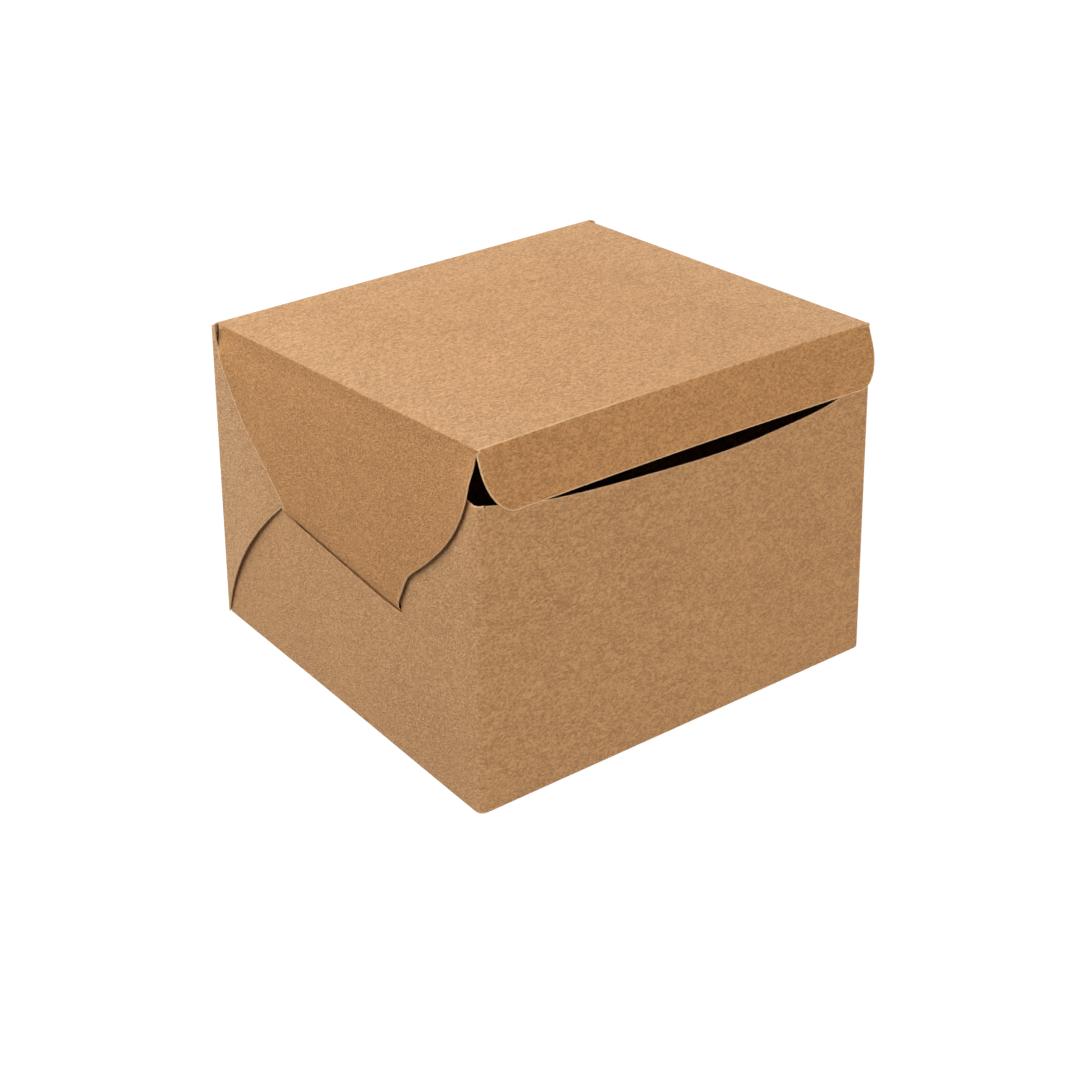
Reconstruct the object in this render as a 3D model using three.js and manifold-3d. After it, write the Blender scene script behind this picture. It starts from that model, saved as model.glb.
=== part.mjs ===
// Kraft cake box: one cut and creased sheet of paperboard, folded into a glued tray whose lid hinges at the
// back. A wing on each side of the lid tucks its tongue into a slit in the side wall; a short flap hangs in
// front. Millimetres, +Z up. The origin is the middle of the underside and the front faces -Y.

import * as THREE from "three";
import { mergeVertices } from "three/addons/utils/BufferGeometryUtils.js";
import Module from "manifold-3d";

const wasm = await Module();
wasm.setup();

// Board and creases
const BOARD = 0.45; // thickness of the paperboard
const FOLD_RADIUS = 1.5; // outer radius of the sharp creases
const CORNER_RADIUS = 2.2; // outer radius of the softer creases at the front corners
const LAYER_GAP = 0.25; // air between two sheets that lie on one another
const SEAM = 0.1; // clearance between a crease and the panels that it joins
const CURVE_STEPS = 12; // straight steps in one curve of an outline

// Tray
const BASE_WIDTH = 160; // over the two side walls, at the table
const BASE_DEPTH = 152.8; // over the front and back walls, at the table
const HINGE_HEIGHT = 111.8; // from the table to the lid's hinge edge
const RIM_INSET = 2.1; // how far each wall leans in at the height of the hinge
const CORNER_DROP = 6.4; // front wall and side walls below the hinge edge, where they meet
const SIDE_DROP = 3.4; // side walls below it, behind that corner
const SIDE_RISE = 14; // length over which the side wall's edge rises from the corner
const SIDE_LIFT = 0.3; // cut lower edge of a side wall above the table
const SIDE_END = 0.5; // clearance of a side wall's rear edge to the crease behind it

// Upper edge of the front wall between its corners, from the left
const FRONT_EDGE_RATIO = [-0.925, -0.644, -0.188, 0.288, 0.612, 0.888]; // place as a share of the half width
const FRONT_EDGE_DROP = [8.5, 12.8, 16, 17.4, 15.4, 13.5]; // below the hinge edge

// Glue tabs of the floor, inside the side walls
const TAB_HEIGHT = 30;
const TAB_END = 3; // end of a tab short of the floor's corner
const TAB_TAPER = 8; // how far each end runs in towards the top

// Rear ears, glued over the side walls
const EAR_FOOT = 2.2; // height of the ear's lower edge beside its crease
const EAR_BELLY = [12.8, 34.2]; // where the tangents of the lower edge's ends meet: from the back, and height
const EAR_NOSE = 8; // how far the ear reaches past the slit's rear end, under the lid's wing
const EAR_TOP_LENGTH = 1.4; // upper edge
const EAR_BROW = [3.6, 19.8]; // where its front edge's tangents meet: from the back, below the hinge
const EAR_DROP = 2.8; // upper edge below the hinge edge
const EAR_CREASE_FOOT = 0.6; // lower end of the ear's crease above the table

// Slit in each side wall: distance from the back, and height of its two ends
const SLIT_REAR = [39.4, 58.3];
const SLIT_FRONT = [110.3, 52];
const DIP_ANGLE = THREE.MathUtils.degToRad(40); // how steeply the tongue dives into the slit
const DIP_FOOT = 0.1; // the dive ends this far above the slit's lower edge
const TONGUE_LENGTH = 12; // hidden behind the side wall
const TONGUE_TAPER = 5; // how far each end of the tongue runs in

// Lid
const LID_TILT = THREE.MathUtils.degToRad(3.74); // the closed lid springs up at the front
const LID_OVERHANG = -0.75; // front fold ahead of the front wall's plane
const LID_CREASE_END = 0.4; // the lid's creases stop this far short of its corners

// Wings of the lid, in distances along and below the fold
const WING_REAR_START = 2.4; // fold end from the hinge
const WING_REAR_BELLY = [0.1, 22.1]; // where the tangents of the rear edge's ends meet
const WING_FRONT_START = 1.7; // fold end ahead of the front crease's middle
const WING_FRONT_BELLY = [4.6, 29.9]; // the same for the front edge, from the front crease's middle
const SHOULDER_STEP = 5.8; // shoulder ahead of the slit's front end
const SHOULDER_RISE = 13.6; // shoulder above it
const SHOULDER_ROUND = [3.2, 2.6]; // run and rise of the rounded shoulder

// Front flap of the lid
const FLAP_BEND = THREE.MathUtils.degToRad(71.6); // turn from the lid to the flap
const FLAP_DEPTH = 18.2; // below its crease
const FLAP_END = 0.8; // end of the flap's fold from the lid's side
const FLAP_CORNER = [11, 12.5]; // half axes of the elliptical lower corners

// Finish
const KRAFT = { color: 0xbf9464, roughness: 0.92, metalness: 0 };
const KRAFT_CREASE = { color: 0xc79d6e, roughness: 0.95, metalness: 0 };

// Places that follow from the sizes above
const QUARTER = Math.PI / 2;
const LAYER = BOARD + LAYER_GAP;
const halfWidth = BASE_WIDTH / 2;
const halfDepth = BASE_DEPTH / 2;
const cornerHeight = HINGE_HEIGHT - CORNER_DROP;
const sideHeight = HINGE_HEIGHT - SIDE_DROP;
const earHeight = HINGE_HEIGHT - EAR_DROP;
const wallLean = Math.atan2(RIM_INSET, HINGE_HEIGHT);
const tabFace = halfWidth - LAYER;
const earFace = halfWidth + LAYER;
const wingFace = halfWidth + 2 * LAYER;
const hinge = {
  y: halfDepth - RIM_INSET - FOLD_RADIUS * Math.cos(wallLean),
  z: HINGE_HEIGHT - FOLD_RADIUS,
};
const lidHalf = wingFace - RIM_INSET;
const lidRun = (hinge.y + halfDepth - RIM_INSET - FOLD_RADIUS + LID_OVERHANG) / Math.cos(LID_TILT);
const dipShift = 3 * LAYER;
const dipTop = DIP_FOOT + dipShift / Math.tan(DIP_ANGLE);
const dipMitre = BOARD * Math.tan(DIP_ANGLE / 2);
const tongueRoot = dipTop + dipMitre;
const slotHeight = DIP_FOOT + LAYER / Math.tan(DIP_ANGLE) + LAYER / Math.sin(DIP_ANGLE);

// Directions of the walls: right along the wall, up, and out of the box
const X = new THREE.Vector3(1, 0, 0);
const Y = new THREE.Vector3(0, 1, 0);
const Z = new THREE.Vector3(0, 0, 1);
const facing = (right, up, out) => new THREE.Matrix4().makeBasis(right, up, out);
const FRONT = facing(X, Z, Y.clone().negate());
const BACK = facing(X.clone().negate(), Z, Y);
const LEFT = facing(Y.clone().negate(), Z, X.clone().negate());
const ACROSS = facing(Y, Z, X); // section in Y and Z, swept along X
const ALONG = facing(X, Z, Y.clone().negate()); // section in X and Z, swept forward

/** Named mesh with a material of its own. */
function piece(name, geometry, finish = KRAFT) {
  geometry.computeVertexNormals();
  const mesh = new THREE.Mesh(geometry, new THREE.MeshStandardMaterial({ ...finish, flatShading: true }));
  mesh.name = name;
  return mesh;
}

/** Geometry reduced to shared positions, so that it is one closed skin. */
function welded(geometry) {
  geometry.deleteAttribute("normal");
  geometry.deleteAttribute("uv");
  return mergeVertices(geometry);
}

/** Board cut to an outline: the outline is the inner face and the thickness goes outwards. */
function sheet(outline) {
  const options = { depth: BOARD, bevelEnabled: false, curveSegments: CURVE_STEPS };
  return welded(new THREE.ExtrudeGeometry(outline, options));
}

/** Bend between two panels: a ring sector swept over a length, from one sheet's normal to the other's. */
function crease(length, from, to, radius = FOLD_RADIUS) {
  const section = new THREE.Shape();
  section.absarc(0, 0, radius, from, to, false);
  section.absarc(0, 0, radius - BOARD, to, from, true);
  section.closePath();
  const options = { depth: length, bevelEnabled: false, curveSegments: CURVE_STEPS / 2 };
  return welded(new THREE.ExtrudeGeometry(section, options));
}

/** Closed outline through straight corners. */
function polygon(corners) {
  return new THREE.Shape(corners.map(([x, y]) => new THREE.Vector2(x, y)));
}

/** Leans an upright piece of the tray in towards the rim, as the folded walls lean. */
function lean(geometry) {
  const position = geometry.getAttribute("position");
  for (let i = 0; i < position.count; i += 1) {
    const inset = RIM_INSET * position.getZ(i) / HINGE_HEIGHT;
    position.setX(i, position.getX(i) * (1 - inset / halfWidth));
    position.setY(i, position.getY(i) * (1 - inset / halfDepth));
  }
  return geometry;
}

/** Mirror image across the middle of the box, with its faces still pointing out. */
function mirrored(geometry) {
  const image = geometry.clone().scale(-1, 1, 1);
  const index = image.getIndex();
  for (let i = 0; i < index.count; i += 3) {
    const second = index.getX(i + 1);
    index.setX(i + 1, index.getX(i + 2));
    index.setX(i + 2, second);
  }
  return image;
}

/** Left and right meshes of a piece that comes in pairs. */
function pair(name, geometry, finish) {
  return [piece(`left_${name}`, geometry, finish), piece(`right_${name}`, mirrored(geometry), finish)];
}

/** Upright sheet on the left of the tray; its outline is in distances from the back and heights. */
function sideSheet(outline, face) {
  return sheet(outline).translate(-halfDepth, 0, face - BOARD).applyMatrix4(LEFT);
}

/** Solid for cutting, from a closed geometry. */
function solid(geometry) {
  const vertProperties = new Float32Array(geometry.getAttribute("position").array);
  const triVerts = new Uint32Array(geometry.getIndex().array);
  return new wasm.Manifold(new wasm.Mesh({ numProp: 3, vertProperties, triVerts }));
}

/** Geometry of a cut solid. */
function skin(manifold) {
  const mesh = manifold.getMesh();
  const geometry = new THREE.BufferGeometry();
  geometry.setAttribute("position", new THREE.BufferAttribute(mesh.vertProperties, 3));
  geometry.setIndex(new THREE.BufferAttribute(mesh.triVerts, 1));
  return geometry;
}

/** Floor, with the four creases that turn it up into the walls and the glue tabs. */
function floorPieces() {
  const halfRun = halfDepth - FOLD_RADIUS - SEAM;
  const halfSpan = tabFace - FOLD_RADIUS - SEAM;
  const wallSpan = halfWidth - CORNER_RADIUS - SEAM;
  const corners = [[-halfSpan, -halfRun], [halfSpan, -halfRun], [halfSpan, halfRun], [-halfSpan, halfRun]];
  const floor = sheet(polygon(corners));
  const front = crease(2 * wallSpan, Math.PI, 3 * QUARTER).translate(0, 0, -wallSpan).applyMatrix4(ACROSS);
  const rear = crease(2 * wallSpan, 3 * QUARTER, 4 * QUARTER).translate(0, 0, -wallSpan).applyMatrix4(ACROSS);
  const tabSpan = halfRun - SEAM;
  const side = crease(2 * tabSpan, Math.PI, 3 * QUARTER).translate(0, 0, -tabSpan).applyMatrix4(ALONG);
  front.translate(0, FOLD_RADIUS - halfDepth, FOLD_RADIUS);
  rear.translate(0, halfDepth - FOLD_RADIUS, FOLD_RADIUS);
  side.translate(FOLD_RADIUS - tabFace, 0, FOLD_RADIUS);
  return [
    piece("base_panel", lean(floor)),
    piece("base_front_crease", lean(front), KRAFT_CREASE),
    piece("base_rear_crease", lean(rear), KRAFT_CREASE),
    ...pair("base_crease", lean(side), KRAFT_CREASE),
  ];
}

/** Tabs of the floor that are glued inside the side walls. */
function glueTabs() {
  const foot = FOLD_RADIUS + SEAM;
  const start = FOLD_RADIUS + TAB_END;
  const end = BASE_DEPTH - start;
  const outline = polygon([
    [start, foot],
    [end, foot],
    [end - TAB_TAPER, TAB_HEIGHT],
    [start + TAB_TAPER, TAB_HEIGHT],
  ]);
  return pair("glue_tab", lean(sideSheet(outline, tabFace)));
}

/** Front wall, with the shallow dip in its upper edge, and the creases at its two ends. */
function frontWall() {
  const halfSpan = halfWidth - CORNER_RADIUS - SEAM;
  const foot = FOLD_RADIUS + SEAM;
  const outline = new THREE.Shape();
  outline.moveTo(halfSpan, foot);
  outline.lineTo(halfSpan, cornerHeight);
  const dip = FRONT_EDGE_RATIO.map((ratio, i) => (
    new THREE.Vector2(ratio * halfWidth, HINGE_HEIGHT - FRONT_EDGE_DROP[i])
  ));
  outline.splineThru([...dip.reverse(), new THREE.Vector2(-halfSpan, cornerHeight)]);
  outline.lineTo(-halfSpan, foot);
  outline.closePath();
  const wall = sheet(outline).translate(0, 0, halfDepth - BOARD).applyMatrix4(FRONT);
  const corner = crease(cornerHeight - SIDE_LIFT, Math.PI, 3 * QUARTER, CORNER_RADIUS);
  corner.translate(CORNER_RADIUS - halfWidth, CORNER_RADIUS - halfDepth, SIDE_LIFT);
  return [piece("front_wall", lean(wall)), ...pair("front_crease", lean(corner), KRAFT_CREASE)];
}

/** Back wall and the creases that turn it into the two ears. */
function backWall() {
  const halfSpan = earFace - FOLD_RADIUS - SEAM;
  const foot = FOLD_RADIUS + SEAM;
  const top = hinge.z - SEAM;
  const outline = polygon([[-halfSpan, foot], [halfSpan, foot], [halfSpan, top], [-halfSpan, top]]);
  const wall = sheet(outline).translate(0, 0, halfDepth - BOARD).applyMatrix4(BACK);
  const corner = crease(earHeight - EAR_CREASE_FOOT, QUARTER, Math.PI);
  corner.translate(FOLD_RADIUS - earFace, halfDepth - FOLD_RADIUS, EAR_CREASE_FOOT);
  return [piece("back_wall", lean(wall)), ...pair("rear_crease", lean(corner), KRAFT_CREASE)];
}

/** Ears of the back wall: each sweeps up from the rear corner and ends under the lid's wing. */
function rearEars() {
  const fold = FOLD_RADIUS + SEAM;
  const outline = new THREE.Shape();
  outline.moveTo(fold, EAR_FOOT);
  outline.quadraticCurveTo(...EAR_BELLY, ...SLIT_REAR);
  outline.lineTo(...besideSlit(0, tongueRoot + LAYER_GAP));
  const nose = besideSlit(EAR_NOSE, tongueRoot + EAR_NOSE);
  outline.lineTo(...nose);
  outline.quadraticCurveTo(EAR_BROW[0], HINGE_HEIGHT - EAR_BROW[1], EAR_TOP_LENGTH + fold, earHeight);
  outline.lineTo(fold, earHeight);
  outline.closePath();
  return pair("rear_ear", lean(sideSheet(outline, earFace)));
}

/** Point beside the slit: how far along it from its rear end, and how far above it. */
function besideSlit(along, above) {
  const run = new THREE.Vector2(SLIT_FRONT[0] - SLIT_REAR[0], SLIT_FRONT[1] - SLIT_REAR[1]).normalize();
  return [SLIT_REAR[0] + run.x * along - run.y * above, SLIT_REAR[1] + run.y * along + run.x * above];
}

/** Side walls: wings of the front wall, each with the slit that takes a tongue of the lid. */
function sideWalls() {
  const front = BASE_DEPTH - CORNER_RADIUS - SEAM;
  const rear = FOLD_RADIUS + SIDE_END;
  const length = Math.hypot(SLIT_FRONT[0] - SLIT_REAR[0], SLIT_FRONT[1] - SLIT_REAR[1]);
  const outline = new THREE.Shape();
  outline.moveTo(rear, SIDE_LIFT);
  outline.lineTo(front, SIDE_LIFT);
  outline.lineTo(front, cornerHeight);
  outline.quadraticCurveTo(front - SIDE_RISE / 2, sideHeight, front - SIDE_RISE, sideHeight);
  outline.lineTo(rear, sideHeight);
  outline.closePath();
  outline.holes.push(polygon([
    besideSlit(0, 0),
    besideSlit(0, slotHeight),
    besideSlit(length, slotHeight),
    besideSlit(length, 0),
  ]));
  return pair("side_wall", lean(sideSheet(outline, halfWidth)));
}

/** Place on a lid wing of a point of the tray's side: distance along and below the wing's fold. */
function onWing([fromBack, height]) {
  const y = (halfDepth - fromBack) * (1 - RIM_INSET * height / HINGE_HEIGHT / halfDepth);
  const ahead = hinge.y - y;
  const below = hinge.z - height;
  return new THREE.Vector2(
    ahead * Math.cos(LID_TILT) - below * Math.sin(LID_TILT),
    ahead * Math.sin(LID_TILT) + below * Math.cos(LID_TILT),
  );
}

/** The slit as the wing sees it: its rear end, its direction and its length. */
function slitOnWing() {
  const rear = onWing(SLIT_REAR);
  const run = onWing(SLIT_FRONT).sub(rear);
  return { rear, run: run.clone().normalize(), length: run.length() };
}

/** Point of the wing beside the slit, as above but in the wing's distances. */
function wingPoint(along, above) {
  const { rear, run } = slitOnWing();
  return new THREE.Vector2(rear.x + run.x * along + run.y * above, rear.y + run.y * along - run.x * above);
}

/** Outline of a wing: it sweeps in from both ends of the fold to a shoulder and to the tongue's root. */
function wingOutline() {
  const root = tongueRoot + SEAM;
  const { length } = slitOnWing();
  const rearFoot = wingPoint(LAYER_GAP, root);
  const frontFoot = wingPoint(length - LAYER_GAP, root);
  const slitEnd = wingPoint(length, 0);
  const shoulder = new THREE.Vector2(slitEnd.x + SHOULDER_STEP, slitEnd.y - SHOULDER_RISE);
  const brow = new THREE.Vector2(shoulder.x + SHOULDER_ROUND[0], shoulder.y - SHOULDER_ROUND[1]);
  const lower = shoulder.clone().lerp(frontFoot, SHOULDER_ROUND[1] / SHOULDER_RISE);
  const outline = new THREE.Shape();
  outline.moveTo(WING_REAR_START, -SEAM);
  outline.quadraticCurveTo(WING_REAR_BELLY[0], -WING_REAR_BELLY[1], rearFoot.x, -rearFoot.y);
  outline.lineTo(frontFoot.x, -frontFoot.y);
  outline.lineTo(lower.x, -lower.y);
  outline.quadraticCurveTo(shoulder.x, -shoulder.y, brow.x, -brow.y);
  const frontBelly = new THREE.Vector2(lidRun - WING_FRONT_BELLY[0], -WING_FRONT_BELLY[1]);
  outline.quadraticCurveTo(frontBelly.x, frontBelly.y, lidRun + WING_FRONT_START, -SEAM);
  outline.closePath();
  return outline;
}

/** Tongue of a wing: it dives through the slit and hangs behind the side wall, narrowing downwards. */
function tongueGeometry() {
  const { rear, run, length } = slitOnWing();
  const section = polygon([
    [tongueRoot, 0],
    [tongueRoot, -BOARD],
    [DIP_FOOT + dipMitre, -dipShift - BOARD],
    [-TONGUE_LENGTH, -dipShift - BOARD],
    [-TONGUE_LENGTH, -dipShift],
    [DIP_FOOT, -dipShift],
    [dipTop, 0],
  ]);
  const strip = welded(new THREE.ExtrudeGeometry(section, { depth: length, bevelEnabled: false }));
  const face = polygon([
    [LAYER_GAP, tongueRoot],
    [LAYER_GAP, 0],
    [LAYER_GAP + TONGUE_TAPER, -TONGUE_LENGTH],
    [length - LAYER_GAP - TONGUE_TAPER, -TONGUE_LENGTH],
    [length - LAYER_GAP, 0],
    [length - LAYER_GAP, tongueRoot],
  ]);
  const reach = dipShift + 2 * BOARD;
  const cutter = welded(new THREE.ExtrudeGeometry(face, { depth: 2 * reach, bevelEnabled: false }));
  strip.applyMatrix4(facing(Y, Z, X));
  cutter.translate(0, 0, -reach);
  const tongue = skin(solid(strip).intersect(solid(cutter)));
  const slope = new THREE.Matrix4().makeRotationZ(-Math.atan2(run.y, run.x));
  return tongue.applyMatrix4(slope).translate(rear.x, -rear.y, 0);
}

/** One wing with its tongue, hung from the middle of its crease; side is -1 on the left, +1 on the right. */
function wing(side) {
  const sign = side < 0 ? (geometry) => geometry : mirrored;
  const name = side < 0 ? "left" : "right";
  const panel = sheet(wingOutline()).translate(0, 0, FOLD_RADIUS - BOARD).applyMatrix4(LEFT);
  const tongue = tongueGeometry().translate(0, 0, FOLD_RADIUS).applyMatrix4(LEFT);
  const group = new THREE.Group();
  group.position.x = side * (lidHalf - FOLD_RADIUS);
  group.rotation.y = -side * wallLean;
  group.add(piece(`${name}_lid_wing`, sign(panel)), piece(`${name}_lock_tongue`, sign(tongue)));
  return group;
}

/** Front flap with its large round lower corners, hung from the middle of the lid's front crease. */
function frontFlap() {
  const halfSpan = lidHalf - FLAP_END;
  const [roundWidth, roundHeight] = FLAP_CORNER;
  const outline = new THREE.Shape();
  outline.moveTo(halfSpan, -SEAM);
  outline.lineTo(-halfSpan, -SEAM);
  outline.lineTo(-halfSpan, roundHeight - FLAP_DEPTH);
  outline.absellipse(roundWidth - halfSpan, roundHeight - FLAP_DEPTH, roundWidth, roundHeight,
    Math.PI, 3 * QUARTER, false, 0);
  outline.absellipse(halfSpan - roundWidth, roundHeight - FLAP_DEPTH, roundWidth, roundHeight,
    3 * QUARTER, 4 * QUARTER, false, 0);
  outline.closePath();
  const group = new THREE.Group();
  group.position.y = -lidRun;
  group.rotation.x = FLAP_BEND - QUARTER;
  group.add(piece("front_flap", sheet(outline).translate(0, 0, FOLD_RADIUS - BOARD).applyMatrix4(FRONT)));
  return group;
}

/** Lid panel with its three outer creases, its wings and its flap, turned about the hinge crease's middle. */
function lid() {
  const halfSpan = lidHalf - FOLD_RADIUS - SEAM;
  const front = SEAM - lidRun;
  const corners = [[-halfSpan, front], [halfSpan, front], [halfSpan, -SEAM], [-halfSpan, -SEAM]];
  const panel = sheet(polygon(corners)).translate(0, 0, FOLD_RADIUS - BOARD);
  const frontSpan = lidHalf - FOLD_RADIUS - LID_CREASE_END;
  const brow = crease(2 * frontSpan, QUARTER, QUARTER + FLAP_BEND).translate(0, 0, -frontSpan);
  brow.applyMatrix4(ACROSS).translate(0, -lidRun, 0);
  const sideRun = lidRun - LID_CREASE_END;
  const side = crease(sideRun, QUARTER, Math.PI - wallLean).translate(0, 0, LID_CREASE_END);
  side.applyMatrix4(ALONG).translate(FOLD_RADIUS - lidHalf, 0, 0);
  const group = new THREE.Group();
  group.position.set(0, hinge.y, hinge.z);
  group.rotation.x = -LID_TILT;
  group.add(
    piece("lid_panel", panel),
    piece("lid_front_crease", brow, KRAFT_CREASE),
    ...pair("lid_crease", side, KRAFT_CREASE),
    wing(-1),
    wing(1),
    frontFlap(),
  );
  return group;
}

/** Crease between the back wall and the lid. */
function hingeCrease() {
  const halfSpan = (earFace - FOLD_RADIUS) * (1 - RIM_INSET / halfWidth) - LID_CREASE_END;
  const bend = crease(2 * halfSpan, wallLean, QUARTER - LID_TILT).translate(0, 0, -halfSpan);
  return piece("lid_hinge_crease", bend.applyMatrix4(ACROSS).translate(0, hinge.y, hinge.z), KRAFT_CREASE);
}

const box = new THREE.Group();
box.add(
  ...floorPieces(),
  ...glueTabs(),
  ...frontWall(),
  ...backWall(),
  ...rearEars(),
  ...sideWalls(),
  hingeCrease(),
  lid(),
);

export default box;
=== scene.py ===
"""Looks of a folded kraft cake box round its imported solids.

Every piece is made as the real one is: board is cut flat to an outline, scored where it has to bend, and
then folded to its place. Flat sizes are in millimetres, and a piece turns to metres when it is folded.
"""

import logging
import math
from dataclasses import dataclass, field, replace
from enum import Enum
from typing import Callable, Sequence

import bmesh
import bpy
from mathutils import Matrix, Vector
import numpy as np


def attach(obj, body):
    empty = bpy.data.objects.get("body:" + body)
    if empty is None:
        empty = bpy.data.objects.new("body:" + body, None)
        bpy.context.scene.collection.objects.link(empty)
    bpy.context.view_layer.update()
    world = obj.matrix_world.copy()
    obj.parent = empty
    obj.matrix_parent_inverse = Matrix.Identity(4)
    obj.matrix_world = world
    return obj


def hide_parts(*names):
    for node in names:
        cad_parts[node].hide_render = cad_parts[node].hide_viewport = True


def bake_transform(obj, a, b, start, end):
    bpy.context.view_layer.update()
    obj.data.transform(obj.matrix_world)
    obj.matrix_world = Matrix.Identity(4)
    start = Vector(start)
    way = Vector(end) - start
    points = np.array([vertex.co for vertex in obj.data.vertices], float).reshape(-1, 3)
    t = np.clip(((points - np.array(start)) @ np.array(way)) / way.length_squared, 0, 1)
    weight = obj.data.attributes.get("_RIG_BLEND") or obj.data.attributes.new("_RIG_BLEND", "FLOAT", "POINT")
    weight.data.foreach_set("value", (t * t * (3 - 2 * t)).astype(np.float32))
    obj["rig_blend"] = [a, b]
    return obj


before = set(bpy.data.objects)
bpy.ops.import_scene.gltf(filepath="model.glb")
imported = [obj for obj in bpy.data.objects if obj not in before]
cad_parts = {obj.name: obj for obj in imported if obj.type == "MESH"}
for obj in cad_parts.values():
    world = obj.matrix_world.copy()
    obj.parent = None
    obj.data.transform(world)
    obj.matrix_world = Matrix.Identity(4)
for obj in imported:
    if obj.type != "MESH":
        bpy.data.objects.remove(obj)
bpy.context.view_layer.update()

LOG = logging.getLogger("cake_box")

MM = 0.001
QUARTER = math.pi / 2
CURVE_STEPS = 28
BEND_STEPS = 10
WEAR_AND_HIGHLIGHT = "wear_and_highlight"
PAINTED_SHADE = "painted_shade"
NOISE_SPAN = (0.3, 0.7)

Point = tuple[float, float]
Colour = tuple[float, float, float]
Place = Callable[[float, float, float], Vector]
FlatField = Callable[[float, float], float]


class Layer(Enum):
    """Material slots of a board piece."""

    OUTSIDE = 0
    CUT_EDGE = 1
    INSIDE = 2


class PaintedTone(Enum):
    """Painted light and shade of the parts of the one-coloured board, from -1 for the palest, most lit, to 1
    for the deepest, most shaded.
    """

    # Painted light and shade: ears painted pale; front, wings and flap painted deeper.
    EAR = -0.95
    SIDE = -0.15
    LID = -0.11
    # Painted light at the lid's margins.
    LID_MARGIN = -0.5
    FRONT = 0.3
    WING = 0.8
    FLAP = 1.0


class Side(Enum):
    """The two sides of the box, with the sign of their X."""

    LEFT = -1
    RIGHT = 1

    @property
    def word(self) -> str:
        """Name of the side as the pieces use it."""
        return self.name.lower()


def ease(x: float) -> float:
    """Smooth step from 0 to 1 over the unit interval."""
    t = min(1.0, max(0.0, x))
    return t * t * (3.0 - 2.0 * t)


def hump(x: float, low: float, high: float) -> float:
    """Smooth rise and fall between two places, 1 in the middle and 0 outside."""
    t = (x - low) / (high - low)
    return math.sin(math.pi * t) ** 2 if 0.0 < t < 1.0 else 0.0


def ripple(u: float, v: float) -> float:
    """Slow waviness of loose board, between about -1 and 1, for flat places in millimetres."""
    broad = math.sin(u / 19.0 + 1.3) * math.sin(v / 23.0 + 0.4)
    slant = math.sin((u + 0.6 * v) / 27.0 + 2.1)
    return 0.6 * broad + 0.4 * slant


def free(*distances: float, reach: float = 12.0) -> float:
    """How free board is at some distances from what holds it, from 0 there to 1 beyond the reach."""
    return math.prod(ease(distance / reach) for distance in distances)


def rectangle(across: Point, up: Point) -> list[Point]:
    """Corners of a rectangle from its range of u and its range of v."""
    return [(across[0], up[0]), (across[1], up[0]), (across[1], up[1]), (across[0], up[1])]


def quadratic(start: Point, belly: Point, end: Point) -> list[Point]:
    """Points of a quadratic curve, without its start.

    Args:
        start: First end of the curve.
        belly: Where the tangents of the two ends meet.
        end: Last end of the curve.

    Returns:
        The points, the last of them the end.
    """
    points = []
    for i in range(1, CURVE_STEPS + 1):
        t = i / CURVE_STEPS
        a, b, c = (1 - t) ** 2, 2 * t * (1 - t), t * t
        points.append((a * start[0] + b * belly[0] + c * end[0], a * start[1] + b * belly[1] + c * end[1]))
    return points


def smooth_through(knots: Sequence[Point]) -> list[Point]:
    """Points of a smooth curve through some knots, without the first.

    Args:
        knots: Places that the curve passes, in order.

    Returns:
        The points, the last of them the last knot.
    """
    steps = CURVE_STEPS // 3
    points = []
    for i in range(len(knots) - 1):
        before, here = knots[max(0, i - 1)], knots[i]
        there, after = knots[i + 1], knots[min(len(knots) - 1, i + 2)]
        for k in range(1, steps + 1):
            t = k / steps
            place = []
            for axis in (0, 1):
                leave, arrive = (there[axis] - before[axis]) / 2, (after[axis] - here[axis]) / 2
                cubic = (2 * here[axis] - 2 * there[axis] + leave + arrive) * t ** 3
                square = (-3 * here[axis] + 3 * there[axis] - 2 * leave - arrive) * t ** 2
                place.append(cubic + square + leave * t + here[axis])
            points.append((place[0], place[1]))
    return points


def elliptic(centre: Point, half_axes: Point, start: float, end: float) -> list[Point]:
    """Points of an elliptic arc.

    Args:
        centre: Middle of the ellipse.
        half_axes: Half its width and half its height.
        start: First angle.
        end: Last angle.

    Returns:
        The points, both ends among them.
    """
    points = []
    for i in range(CURVE_STEPS + 1):
        angle = start + (end - start) * i / CURVE_STEPS
        across, up = half_axes[0] * math.cos(angle), half_axes[1] * math.sin(angle)
        points.append((centre[0] + across, centre[1] + up))
    return points


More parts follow.
